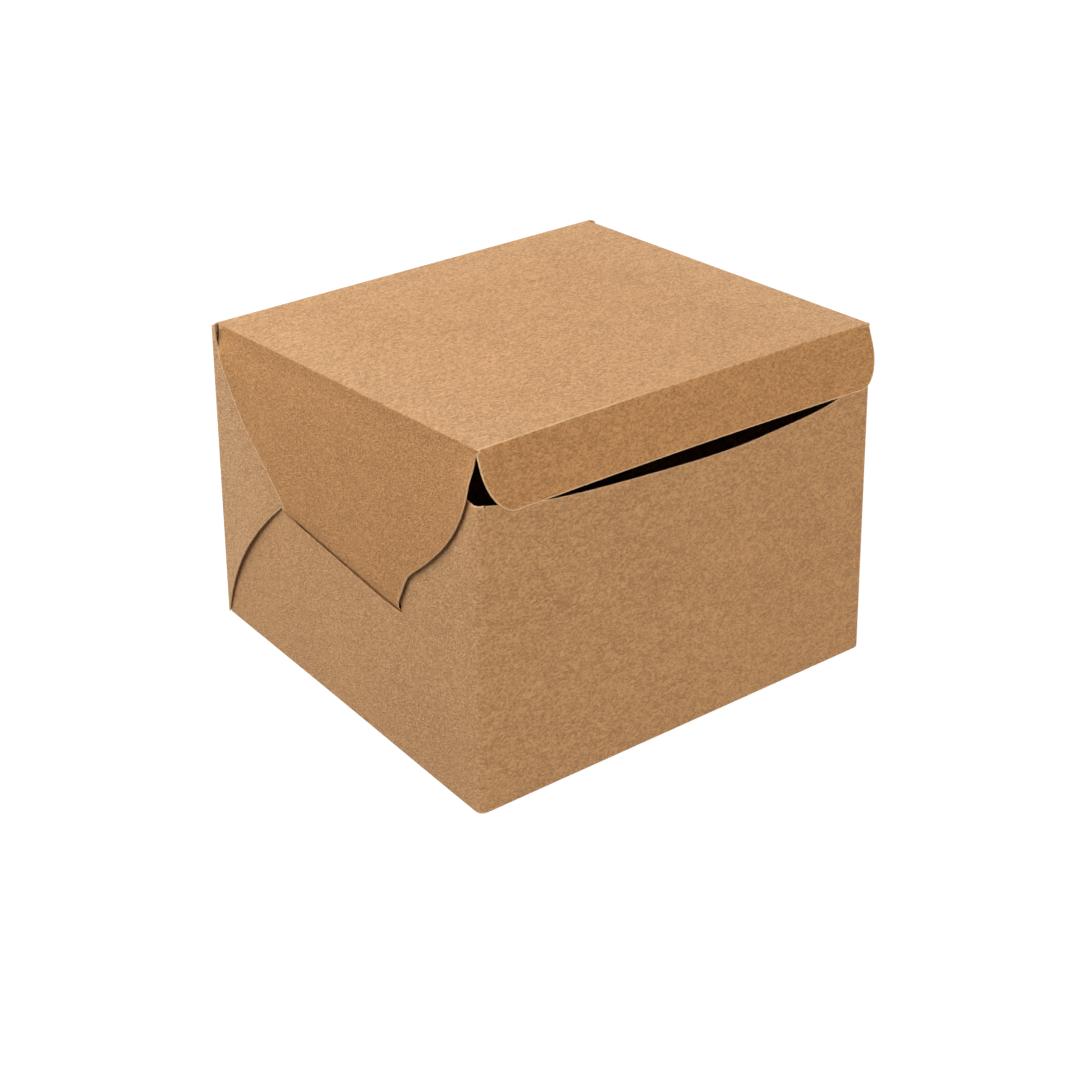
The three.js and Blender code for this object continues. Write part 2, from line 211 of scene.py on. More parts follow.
@dataclass(frozen=True)
class BoxSizes:
    """Sizes that several pieces share, in millimetres: those of the solids, set to the one folded box."""

    board: float = 0.45
    fold_radius: float = 0.6
    corner_radius: float = 2.4
    layer_gap: float = 0.25
    lead: float = 0.4
    width: float = 161.6
    depth: float = 151.3
    hinge_height: float = 111.4
    rim_inset: float = 1.95
    flare: float = 0.0088
    toe: float = 1.0
    press: float = 2.5
    press_reach: float = 20.0
    twist: float = 0.84
    crown: float = 0.7
    waviness: float = 0.12
    tongue_root: float = 2.8
    corner_drop: float = 6.1
    corner_fall: float = 0.2
    side_drop: float = 3.4
    ear_drop: float = 0.5
    side_lift: float = 0.3
    lid_half: float = 77.5
    lid_tilt: float = math.radians(4.14)
    lid_overhang: float = -0.54
    flap_bend: float = math.radians(71.6)
    slit_rear: Point = (39.4, 58.3)
    slit_front: Point = (109.9, 52.3)

    @property
    def half_width(self) -> float:
        """Half the width at the table."""
        return self.width / 2

    @property
    def half_depth(self) -> float:
        """Half the depth at the table."""
        return self.depth / 2

    @property
    def layer(self) -> float:
        """Step from one sheet to the next that lies on it."""
        return self.board + self.layer_gap

    @property
    def corner_height(self) -> float:
        """Height of the side walls at the front corners."""
        return self.hinge_height - self.corner_drop

    @property
    def front_height(self) -> float:
        """Height of the front wall at its corners."""
        return self.corner_height - self.corner_fall

    @property
    def side_height(self) -> float:
        """Height of the side walls behind the front corners."""
        return self.hinge_height - self.side_drop

    @property
    def ear_height(self) -> float:
        """Height of the ears' upper edges."""
        return self.hinge_height - self.ear_drop

    @property
    def tab_face(self) -> float:
        """Outer face of the glue tabs, from the middle of the box."""
        return self.half_width - self.layer

    @property
    def ear_face(self) -> float:
        """Outer face of the ears."""
        return self.half_width + self.layer

    @property
    def wing_face(self) -> float:
        """Outer face of the lid's wings."""
        return self.half_width + 2 * self.layer

    @property
    def wall_lean(self) -> float:
        """Angle by which the walls lean in."""
        return math.atan2(self.rim_inset, self.hinge_height)

    @property
    def hinge(self) -> Vector:
        """Middle of the hinge crease's bend."""
        run = self.half_depth - self.rim_inset - self.fold_radius * math.cos(self.wall_lean)
        return Vector((0.0, run, self.hinge_height - self.fold_radius))

    @property
    def lid_run(self) -> float:
        """Distance from the hinge's bend to the front fold's bend, along the lid."""
        reach = self.hinge.y + self.half_depth - self.rim_inset - self.fold_radius + self.lid_overhang
        return reach / math.cos(self.lid_tilt)

    @property
    def lid_place(self) -> Matrix:
        """Place of the closed lid in the box."""
        return Matrix.Translation(self.hinge) @ Matrix.Rotation(-self.lid_tilt, 4, "X")

    @property
    def wing_place(self) -> Matrix:
        """Place of the left wing in the box."""
        shift = Matrix.Translation((self.fold_radius - self.lid_half, 0.0, 0.0))
        return self.lid_place @ shift @ Matrix.Rotation(self.wall_lean, 4, "Y")

    @property
    def flap_place(self) -> Matrix:
        """Place of the front flap in the box."""
        shift = Matrix.Translation((0.0, -self.lid_run, 0.0))
        return self.lid_place @ shift @ Matrix.Rotation(self.flap_bend - QUARTER, 4, "X")

    def lean(self, x: float, y: float, z: float) -> Vector:
        """Leans an upright place of the tray in towards the rim."""
        inset = self.rim_inset * z / self.hinge_height
        return Vector((x * (1 - inset / self.half_width), y * (1 - inset / self.half_depth), z))

    def flared(self, place: Vector) -> Vector:
        """Widens the rim at the back, narrows it in front and sets the front wall's foot forward."""
        up, ahead = place.z / self.hinge_height, (self.half_depth - place.y) / self.depth
        share = self.flare * place.y / self.half_depth * up
        return Vector((place.x * (1 + share), place.y - self.toe * ahead * (1 - up), place.z))

    def twisted(self, place: Vector) -> Vector:
        """Twists the lid, up in front on the left, and crowns its front edge, besides the flare."""
        ahead = max(0.0, self.hinge.y - place.y) / self.lid_run
        aside = place.x / self.lid_half
        lift = ahead * (self.crown * (1 - aside * aside) - self.twist * aside)
        return self.flared(place) + Vector((0.0, 0.0, lift))

    def pressed(self, u: float, v: float) -> float:
        """How far the lid's wing presses a side wall in, by its distance from the back and its height."""
        hold = ease(u / self.press_reach) * ease((self.depth - u) / self.press_reach)
        return self.press * hold * (v / self.hinge_height) ** 3

    def beside_slit(self, along: float, above: float) -> Point:
        """Place on a side wall, from how far along the slit and how far above it."""
        run = Vector(self.slit_front) - Vector(self.slit_rear)
        run.normalize()
        return (
            self.slit_rear[0] + run.x * along - run.y * above,
            self.slit_rear[1] + run.y * along + run.x * above,
        )

    @property
    def slit_length(self) -> float:
        """Length of the slit in a side wall."""
        return (Vector(self.slit_front) - Vector(self.slit_rear)).length


SIZES = BoxSizes()


class Shader:
    """Shader nodes of one material or sky, added and linked by short calls."""

    def __init__(self, owner: bpy.types.Material | bpy.types.World) -> None:
        """Empties the nodes of a fresh material or sky."""
        owner.use_nodes = True
        self.owner = owner
        self.tree = owner.node_tree
        self.tree.nodes.clear()

    def node(self, kind: str, inputs: dict | None = None, **settings: object) -> bpy.types.ShaderNode:
        """Adds a node.

        Args:
            kind: Type name of the node, without its common start.
            inputs: Values or output sockets for the node's inputs, by name or index.
            settings: Other properties of the node.

        Returns:
            The node.
        """
        made = self.tree.nodes.new("ShaderNode" + kind)
        for name, value in settings.items():
            setattr(made, name, value)
        for key, value in (inputs or {}).items():
            if isinstance(value, bpy.types.NodeSocket):
                self.tree.links.new(value, made.inputs[key])
            else:
                made.inputs[key].default_value = value
        return made

    def maths(self, operation: str, *values: object) -> bpy.types.NodeSocket:
        """Result of one sum or comparison on sockets and numbers."""
        return self.node("Math", dict(enumerate(values)), operation=operation).outputs[0]

    def span(self, value: bpy.types.NodeSocket, source: Point, target: Point) -> bpy.types.NodeSocket:
        """Value brought from one range to another, held at its ends."""
        ends = {"From Min": source[0], "From Max": source[1], "To Min": target[0], "To Max": target[1]}
        return self.node("MapRange", {"Value": value, **ends}).outputs["Result"]

    def noise(self, place: bpy.types.NodeSocket, scale: float, **inputs: float) -> bpy.types.NodeSocket:
        """Values of a noise pattern, from 0 to 1."""
        return self.node("TexNoise", {"Vector": place, "Scale": scale, **inputs}).outputs["Fac"]

    def blend(self, share: object, first: object, second: object) -> bpy.types.NodeSocket:
        """Colour between two others."""
        inputs = {0: share, 6: first, 7: second}
        return self.node("Mix", inputs, data_type="RGBA").outputs[2]

    def seen(self) -> bpy.types.NodeSocket:
        """1 for what the camera sees, straight or by way of gloss or glass, and 0 for other light."""
        path = self.node("LightPath").outputs
        seen = self.maths("MAXIMUM", path["Is Camera Ray"], path["Is Transmission Ray"])
        return self.maths("MAXIMUM", seen, path["Is Glossy Ray"])

    def finish(self, surface: bpy.types.NodeSocket, output: str = "OutputMaterial") -> bpy.types.ID:
        """Links the surface to the output and returns the material or sky."""
        self.node(output, {"Surface": surface})
        return self.owner


@dataclass(frozen=True)
class KraftFinish:
    """Face of unbleached board: clouds, pulp flocks, fibres in relief and a few dark specks, with painted
    light and shade by part and pale rims of wear and painted highlight.
    """

    name: str
    dark: Colour
    light: Colour
    # Pale colour of worn fibres, also used as painted highlight on rims and the front fold.
    worn_and_lit: Colour = (0.92, 0.62, 0.34)
    # Painted light and shade: tints that pale the lit parts and deepen the shaded ones.
    painted_light_tint: Colour = (1.10, 1.18, 1.30)
    painted_shade_tint: Colour = (0.90, 0.79, 0.62)
    speck: Colour = (0.10, 0.052, 0.022)
    grain: tuple[float, float, float] = (0.62, 1.0, 1.0)
    cloud_scale: float = 34.0
    flock_scale: float = 300.0
    fibre_scale: float = 1500.0
    strand_scale: float = 800.0
    strand_warp: float = 0.0045
    strand_width: float = 0.09
    tone: float = 0.375
    cloud_share: float = 0.08
    flock_share: float = 0.15
    fibre_share: float = 0.82
    strand_share: float = 0.54
    flock_height: float = 0.35
    fibre_height: float = 0.7
    strand_height: float = 0.8
    speck_scale: float = 78.0
    speck_radius: float = 0.032
    speck_share: float = 0.62
    relief: float = 0.00024
    relief_strength: float = 0.75
    roughness: Point = (0.74, 0.92)

    def material(self) -> bpy.types.Material:
        """Builds the board's material.

        Returns:
            The material, with the wear and painted highlight of folds and rims, and the painted light and
            shade, read from the pieces' own attributes.
        """
        s = Shader(bpy.data.materials.new(self.name))
        place = s.node("TexCoord").outputs["Object"]
        grain = s.node("Mapping", {"Vector": place, "Scale": self.grain}).outputs["Vector"]
        cloud = s.noise(place, self.cloud_scale, Detail=3.0)
        flock = s.noise(grain, self.flock_scale, Detail=4.0, Roughness=0.62)
        fibre = s.noise(grain, self.fibre_scale, Detail=3.0, Roughness=0.6, Distortion=0.9)
        strand = self._strands(s, grain)
        tone = self.tone
        shares = ((cloud, self.cloud_share), (flock, self.flock_share), (fibre, self.fibre_share))
        for pattern, share in shares:
            tone = s.maths("MULTIPLY_ADD", s.span(pattern, NOISE_SPAN, (-1.0, 1.0)), share, tone)
        tone = s.maths("MULTIPLY_ADD", strand, self.strand_share, tone)
        colour = s.blend(tone, (*self.dark, 1.0), (*self.light, 1.0))
        # Painted light and shade: colour paled or deepened by the piece's attribute.
        colour = s.node("VectorMath", {0: colour, 1: self._painted_light_and_shade(s)}, operation="MULTIPLY").outputs[0]
        # Wear and painted highlight: pale colour mixed in by the piece's attribute.
        colour = s.blend(self._wear_and_highlight(s, flock, fibre), colour, (*self.worn_and_lit, 1.0))
        colour = s.blend(self._specks(s, place), colour, (*self.speck, 1.0))
        height = s.maths("MULTIPLY", fibre, self.fibre_height)
        height = s.maths("MULTIPLY_ADD", strand, self.strand_height, height)
        height = s.maths("MULTIPLY_ADD", flock, self.flock_height, height)
        bump = s.node(
            "Bump", {"Strength": self.relief_strength, "Distance": self.relief, "Height": height}
        ).outputs["Normal"]
        rough = s.span(fibre, NOISE_SPAN, self.roughness)
        board = s.node(
            "BsdfPrincipled",
            {"Base Color": colour, "Roughness": rough, "Normal": bump, "Specular IOR Level": 0.35},
        )
        return s.finish(board.outputs["BSDF"])

    def _strands(self, s: Shader, grain: bpy.types.NodeSocket) -> bpy.types.NodeSocket:
        """Long fibres: thin ridges where a warped noise crosses its middle value."""
        warp = s.node("TexNoise", {"Vector": grain, "Scale": self.flock_scale, "Detail": 2.0})
        stretch = {0: warp.outputs["Color"], 1: (self.strand_warp,) * 3}
        shift = s.node("VectorMath", stretch, operation="MULTIPLY").outputs[0]
        bent = s.node("VectorMath", {0: grain, 1: shift}, operation="ADD").outputs[0]
        wave = s.noise(bent, self.strand_scale, Detail=1.5)
        ridge = s.maths("ABSOLUTE", s.maths("SUBTRACT", wave, 0.5))
        return s.span(ridge, (0.0, self.strand_width), (1.0, 0.0))

    def _painted_light_and_shade(self, s: Shader) -> bpy.types.NodeSocket:
        """Painted light and shade of the sheet, from pale where lit to deep where shaded."""
        painted_shade = s.node("Attribute", attribute_name=PAINTED_SHADE).outputs["Fac"]
        share = s.maths("MULTIPLY_ADD", painted_shade, 0.5, 0.5)
        return s.blend(share, (*self.painted_light_tint, 1.0), (*self.painted_shade_tint, 1.0))

    def _wear_and_highlight(
        self, s: Shader, flock: bpy.types.NodeSocket, fibre: bpy.types.NodeSocket
    ) -> bpy.types.NodeSocket:
        """Share of pale colour on folds and rims, partly wear and partly painted highlight, broken up by the
        pulp.
        """
        along = s.node("Attribute", attribute_name=WEAR_AND_HIGHLIGHT).outputs["Fac"]
        rough = s.span(s.maths("ADD", flock, fibre), (0.8, 1.2), (0.6, 1.0))
        return s.maths("MULTIPLY", s.span(along, (0.1, 0.5), (0.0, 1.0)), rough)

    def _specks(self, s: Shader, place: bpy.types.NodeSocket) -> bpy.types.NodeSocket:
        """Share of speck colour: the few dots of a sparse cell pattern that reach the face."""
        cells = s.node("TexVoronoi", {"Vector": place, "Scale": self.speck_scale})
        lot = s.node("SeparateColor", {0: cells.outputs["Color"]}).outputs[0]
        chosen = s.maths("GREATER_THAN", lot, self.speck_share)
        dot = s.span(cells.outputs["Distance"], (self.speck_radius * 0.5, self.speck_radius), (0.85, 0.0))
        return s.maths("MULTIPLY", chosen, dot)


@dataclass(frozen=True)
class CutEdgeFinish:
    """Raw edge of die-cut board: pale, layered and slightly fuzzy."""

    name: str = "kraft_cut_edge"
    dark: Colour = (0.60, 0.36, 0.17)
    light: Colour = (0.86, 0.56, 0.30)
    fibre_scale: float = 900.0
    relief: float = 0.00008
    roughness: float = 0.9

    def material(self) -> bpy.types.Material:
        """Builds the edge's material."""
        s = Shader(bpy.data.materials.new(self.name))
        place = s.node("TexCoord").outputs["Object"]
        fibre = s.noise(place, self.fibre_scale, Detail=3.0, Distortion=0.5)
        colour = s.blend(s.span(fibre, NOISE_SPAN, (0.0, 1.0)), (*self.dark, 1.0), (*self.light, 1.0))
        bump = s.node("Bump", {"Strength": 0.5, "Distance": self.relief, "Height": fibre}).outputs["Normal"]
        edge = s.node("BsdfPrincipled", {"Base Color": colour, "Roughness": self.roughness, "Normal": bump})
        return s.finish(edge.outputs["BSDF"])


@dataclass(frozen=True)
class Score:
    """Straight line across a blank: a place on it and the direction square to it."""

    place: Point
    square: Point


def scores_between(low: float, high: float, pitch: float, axis: int) -> list[Score]:
    """Evenly spaced score lines inside a range.

    Args:
        low: Start of the range.
        high: End of the range.
        pitch: Greatest distance between two lines.
        axis: 0 for lines square to u, 1 for lines square to v.

    Returns:
        The score lines, without the two ends.
    """
    count = max(1, math.ceil((high - low) / pitch))
    lines = []
    for i in range(1, count):
        value = low + (high - low) * i / count
        lines.append(Score((value, 0.0), (1.0, 0.0)) if axis == 0 else Score((0.0, value), (0.0, 1.0)))
    return lines


def grid(across: Point, up: Point, pitches: Point = (7.0, 7.0)) -> list[Score]:
    """Score lines both ways over a range of u and a range of v, by their pitches."""
    return scores_between(*across, pitches[0], 0) + scores_between(*up, pitches[1], 1)


@dataclass
class Blank:
    """Board cut flat to an outline in u and v, with its outer face up."""

    outline: list[Point]
    scores: list[Score] = field(default_factory=list)
    window: list[Point] = field(default_factory=list)
    seams_u: tuple[float, ...] = ()
    seams_v: tuple[float, ...] = ()
    outer_round: float = 0.16
    inner_round: float = 0.07
    rim_width: float = 0.32
    # Pale rim band: edge wear and painted highlight of edges catching light.
    rim_wear_and_highlight: Point = (0.8, 0.8)
    pale_edges: bool = True
    painted_tones: tuple[PaintedTone, PaintedTone] = (PaintedTone.SIDE, PaintedTone.SIDE)
    bend: float = 1.0
    crease: bool = False

    def on_seam(self, u: float, v: float) -> bool:
        """Whether a place on the rim is where the board runs on into another piece."""
        near = 1e-3
        return any(abs(u - line) < near for line in self.seams_u) or any(
            abs(v - line) < near for line in self.seams_v
        )

    def across(self, first: float, second: float, u: float) -> float:
        """Value that goes over from a first one to a second across the bend."""
        return first + (second - first) * ease(u / self.bend)

    def painted_shade(self, u: float) -> float:
        """Painted light and shade of the board, going across its bend from one part's tone to the other's.
        """
        return self.across(self.painted_tones[0].value, self.painted_tones[1].value, u)

    def runs_on(self, edge: bmesh.types.BMEdge) -> bool:
        """Whether an edge lies along a seam."""
        middle = (edge.verts[0].co + edge.verts[1].co) / 2
        return self.on_seam(middle.x, middle.y)

    def cut(self) -> bmesh.types.BMesh:
        """Cuts the board, rounds its free edges and scores it.

        Returns:
            The flat board, its outer face at 0 and its inner face below.
        """
        bm = bmesh.new()
        bm.verts.layers.float.new(WEAR_AND_HIGHLIGHT)
        bm.verts.layers.float.new(PAINTED_SHADE)
        bm.faces.new([bm.verts.new((u, v, 0.0)) for u, v in self.outline])
        self._punch(bm)
        raised = bmesh.ops.extrude_face_region(bm, geom=bm.faces[:], use_keep_orig=True)
        below = [g for g in raised["geom"] if isinstance(g, bmesh.types.BMVert)]
        bmesh.ops.translate(bm, verts=below, vec=(0.0, 0.0, -SIZES.board))
        bmesh.ops.recalc_face_normals(bm, faces=bm.faces[:])
        for face in bm.faces:
            face.material_index = self._layer(face).value
        self._round(bm, Layer.OUTSIDE, self.outer_round)
        self._round(bm, Layer.INSIDE, self.inner_round)
        self._wear_and_highlight_rim(bm)
        for score in self.scores:
            self._divide(bm, score)
        # Without pale edges the cut edges take the face's darker colour: painted shade for the slit's lip.
        if not self.pale_edges:
            for face in bm.faces:
                if face.material_index == Layer.CUT_EDGE.value:
                    face.material_index = Layer.OUTSIDE.value
        return bm

    def _divide(self, bm: bmesh.types.BMesh, score: Score) -> None:
        """Divides the board's faces along a score line."""
        bmesh.ops.bisect_plane(
            bm,
            geom=bm.verts[:] + bm.edges[:] + bm.faces[:],
            dist=1e-4,
            plane_co=(*score.place, 0.0),
            plane_no=(*score.square, 0.0),
        )

    def _punch(self, bm: bmesh.types.BMesh) -> None:
        """Cuts the window out of the flat sheet."""
        corners = [Vector(corner) for corner in self.window]
        if not corners:
            return
        squares = []
        for i, corner in enumerate(corners):
            run = corners[(i + 1) % len(corners)] - corner
            squares.append((corner, Vector((run.y, -run.x)).normalized()))
        for corner, square in squares:
            self._divide(bm, Score(tuple(corner), tuple(square)))
        middle = sum(corners, Vector((0.0, 0.0))) / len(corners)
        inward = [1.0 if (middle - corner).dot(square) > 0 else -1.0 for corner, square in squares]
        waste = []
        for face in bm.faces:
            centre = face.calc_center_median().to_2d()
            if all((centre - c).dot(q) * sign > 0 for (c, q), sign in zip(squares, inward)):
                waste.append(face)
        bmesh.ops.delete(bm, geom=waste, context="FACES")

    def _layer(self, face: bmesh.types.BMFace) -> Layer:
        """Which side of the board a face of the fresh blank is."""
        heights = [vert.co.z for vert in face.verts]
        if min(heights) > -1e-6:
            return Layer.OUTSIDE
        return Layer.INSIDE if max(heights) < -1e-6 else Layer.CUT_EDGE

    def _rim(self, bm: bmesh.types.BMesh, layer: Layer) -> list[bmesh.types.BMEdge]:
        """Free edges of one face of the board, without its seams."""
        rim = []
        for edge in bm.edges:
            slots = {face.material_index for face in edge.link_faces}
            if slots == {layer.value, Layer.CUT_EDGE.value} and not self.runs_on(edge):
                rim.append(edge)
        return rim

    def _wear_and_highlight_rim(self, bm: bmesh.types.BMesh) -> None:
        """Leaves a narrow pale band on the outer face along its free edges: partly edge wear, partly a
        painted highlight of the edges catching light.
        """
        worn_and_lit = bm.verts.layers.float[WEAR_AND_HIGHLIGHT]
        faces = [face for face in bm.faces if face.material_index == Layer.OUTSIDE.value]
        bmesh.ops.inset_region(
            bm, faces=faces, thickness=self.rim_width, use_boundary=True, use_even_offset=True
        )
        ends = set()
        for edge in self._rim(bm, Layer.OUTSIDE):
            for vert in edge.verts:
                vert[worn_and_lit] = self.across(*self.rim_wear_and_highlight, vert.co.x)
                if self.on_seam(vert.co.x, vert.co.y):
                    ends.add(vert)
        for vert in ends:
            for edge in self._seam_edges(vert):
                share = min(0.5, self.rim_width / edge.calc_length())
                bmesh.utils.edge_split(edge, vert, share)[1][worn_and_lit] = 0.0

    def _seam_edges(self, vert: bmesh.types.BMVert) -> list[bmesh.types.BMEdge]:
        """Edges of the outer face that run along a seam from one vertex."""
        found = []
        for edge in vert.link_edges:
            outer = any(face.material_index == Layer.OUTSIDE.value for face in edge.link_faces)
            if outer and self.runs_on(edge):
                found.append(edge)
        return found

    def _round(self, bm: bmesh.types.BMesh, layer: Layer, radius: float) -> None:
        """Rounds the free edges of one face of the board, as a die leaves them."""
        made = bmesh.ops.bevel(
            bm,
            geom=self._rim(bm, layer),
            offset=radius,
            offset_type="OFFSET",
            segments=2,
            profile=0.5,
            affect="EDGES",
            material=-1,
            clamp_overlap=True,
        )
        for face in made["faces"]:
            face.material_index = Layer.CUT_EDGE.value


@dataclass
class Bindery:
    """Turns blanks into finished pieces: folds them, dresses them and puts them on their bodies."""

    panel: bpy.types.Material
    fold: bpy.types.Material
    edge: bpy.types.Material
    inside: bpy.types.Material
    settle: Callable[[Vector], Vector] = SIZES.flared
    sharp_angle: float = math.radians(30.0)

    def piece(
        self,
        node: str,
        blank: Blank,
        place: Place,
        body: str = "",
        mirrored: bool = False,
        wear_and_highlight: FlatField | None = None,
        painted_shade: FlatField | None = None,
    ) -> bpy.types.Object:
        """Folds a blank into a piece that stands for one node.

        Args:
            node: Node that the piece stands for and takes its name from.
            blank: The flat board.
            place: Where a flat place goes: u, v and the height above the outer face.
            body: Body that the piece rides on, unless it bends between two.
            mirrored: True for the right-hand twin of a left-hand piece.
            wear_and_highlight: Share of fold wear and painted highlight by flat place, besides that of the
                rim.
            painted_shade: Painted light and shade by flat place, where it isn't just that of the blank's
                painted tones.

        Returns:
            The piece, at the origin.
        """
        name = f"{node}_board"
        bm = blank.cut()
        worn_and_lit, shade_layer = bm.verts.layers.float[WEAR_AND_HIGHLIGHT], bm.verts.layers.float[PAINTED_SHADE]
        for vert in bm.verts:
            u, v, height = vert.co
            if wear_and_highlight:
                vert[worn_and_lit] = max(vert[worn_and_lit], wear_and_highlight(u, v))
            # Painted light and shade for each vertex.
            vert[shade_layer] = painted_shade(u, v) if painted_shade else blank.painted_shade(u)
            spot = place(u, v, height)
            if mirrored:
                spot.x = -spot.x
            vert.co = self.settle(spot) * MM
        bmesh.ops.recalc_face_normals(bm, faces=bm.faces[:])
        for face in bm.faces:
            face.smooth = True
        mesh = bpy.data.meshes.new(name)
        bm.to_mesh(mesh)
        bm.free()
        mesh.set_sharp_from_angle(angle=self.sharp_angle)
        for material in (self.fold if blank.crease else self.panel, self.edge, self.inside):
            mesh.materials.append(material)
        made = bpy.data.objects.new(name, mesh)
        bpy.context.scene.collection.objects.link(made)
        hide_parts(node)
        if body:
            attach(made, body)
        LOG.info("%s: %d faces", name, len(mesh.polygons))
        return made

    def pair(
        self, name: str, blank: Callable[[], Blank], place: Place, body: str = ""
    ) -> dict[Side, bpy.types.Object]:
        """Makes a left piece and its mirror image.

        Args:
            name: Name of the node, without its side.
            blank: Gives a fresh blank of the left piece.
            place: Place of the left piece.
            body: Body that both ride on, if it is the same one.

        Returns:
            The two pieces by side.
        """
        made = {}
        for side in Side:
            mirrored = side is Side.RIGHT
            made[side] = self.piece(f"{side.word}_{name}", blank(), place, body, mirrored)
        return made


@dataclass(frozen=True)
class Crease:
    """Bend between two panels: a strip of board turned about a line, with a short flat run on each side."""

    radius: float
    start: float
    end: float
    length: tuple[float, float]
    painted_tones: tuple[PaintedTone, PaintedTone] = (PaintedTone.SIDE, PaintedTone.SIDE)
    lead: float = SIZES.lead
    pitch: float = 8.0

    @property
    def arc(self) -> float:
        """Length of the bend along the outer face."""
        return self.radius * (self.end - self.start)

    def blank(self) -> Blank:
        """Flat strip of the crease: u across the bend, v along it."""
        low, high = -self.lead, self.arc + self.lead
        outline = rectangle((low, high), self.length)
        scores = [Score((self.arc * i / BEND_STEPS, 0.0), (1.0, 0.0)) for i in range(BEND_STEPS + 1)]
        scores += scores_between(*self.length, self.pitch, 1)
        return Blank(outline, scores, seams_u=(low, high), painted_tones=self.painted_tones, bend=self.arc, crease=True)

    def section(self, u: float, height: float) -> Point:
        """Place in the crease's section of a flat place across the bend."""
        turn = min(self.arc, max(0.0, u))
        angle = self.start + turn / self.radius
        out = self.radius + height
        beyond = u - turn
        return (
            out * math.cos(angle) - beyond * math.sin(angle),
            out * math.sin(angle) + beyond * math.cos(angle),
        )

    def upright(self, x: float, y: float) -> Place:
        """Place of a crease that stands upright, by the middle of its bend."""

        def place(u: float, v: float, height: float) -> Vector:
            """Turns the section to X and Y and stands it up."""
            a, b = self.section(u, height)
            return SIZES.lean(x + a, y + b, v)

        return place


@dataclass
class Floor:
    """Floor of the tray, the creases round it and the tabs glued inside the side walls."""

    bindery: Bindery
    tab_height: float = 30.0
    tab_end: float = 3.0
    tab_taper: float = 8.0
    pitch: float = 16.0

    def build(self) -> None:
        """Makes the floor's pieces."""
        self._panel()
        self._wall_creases()
        self._tabs()

    def _panel(self) -> None:
        """Flat floor, its outer face on the table."""
        half_x = SIZES.tab_face - SIZES.fold_radius - SIZES.lead
        half_y = SIZES.half_depth - SIZES.fold_radius - SIZES.lead
        across, along = (-half_x, half_x), (-half_y, half_y)
        scores = grid(across, along, (self.pitch, self.pitch))
        blank = Blank(rectangle(across, along), scores, seams_u=across, seams_v=along)
        self.bindery.piece(
            "base_panel", blank, lambda u, v, height: SIZES.lean(u, -v, -height), "tray"
        )

    def _wall_creases(self) -> None:
        """Creases from the floor up into the front wall, the back wall and the two tabs."""
        radius = SIZES.fold_radius
        span, rear_span = SIZES.half_width - SIZES.corner_radius, SIZES.half_width - radius
        middle = SIZES.half_depth - radius
        front = Crease(radius, math.pi, 3 * QUARTER, (-span, span), painted_tones=(PaintedTone.FRONT, PaintedTone.SIDE))
        rear = Crease(radius, 3 * QUARTER, 4 * QUARTER, (-rear_span, rear_span))

        def across(crease: Crease, y: float) -> Place:
            """Place of a crease that runs across the box."""

            def place(u: float, v: float, height: float) -> Vector:
                """Turns the section to Y and Z and sweeps it along X."""
                a, b = crease.section(u, height)
                return SIZES.lean(v, y + a, radius + b)

            return place

        for name, crease, y in (("base_front_crease", front, -middle), ("base_rear_crease", rear, middle)):
            self.bindery.piece(name, crease.blank(), across(crease, y), "tray")
        run = SIZES.half_depth - radius - SIZES.lead
        side = Crease(radius, math.pi, 3 * QUARTER, (-run, run))

        def along(u: float, v: float, height: float) -> Vector:
            """Turns the section to X and Z and sweeps it along Y."""
            a, b = side.section(u, height)
            return SIZES.lean(radius - SIZES.tab_face + a, v, radius + b)

        self.bindery.pair("base_crease", side.blank, along, "tray")

    def _tabs(self) -> None:
        """Tabs that stand inside the side walls."""
        foot = SIZES.fold_radius + SIZES.lead
        start = SIZES.fold_radius + self.tab_end
        end = SIZES.depth - start

        def blank() -> Blank:
            """Tab with slanted ends."""
            outline = [
                (start, foot),
                (end, foot),
                (end - self.tab_taper, self.tab_height),
                (start + self.tab_taper, self.tab_height),
            ]
            scores = scores_between(start, end, self.pitch, 0)
            return Blank(outline, scores, seams_v=(foot,))

        def place(u: float, v: float, height: float) -> Vector:
            """Stands the tab up inside the left wall."""
            return SIZES.lean(-SIZES.tab_face - height, SIZES.half_depth - u, v)

        self.bindery.pair("glue_tab", blank, place, "tray")


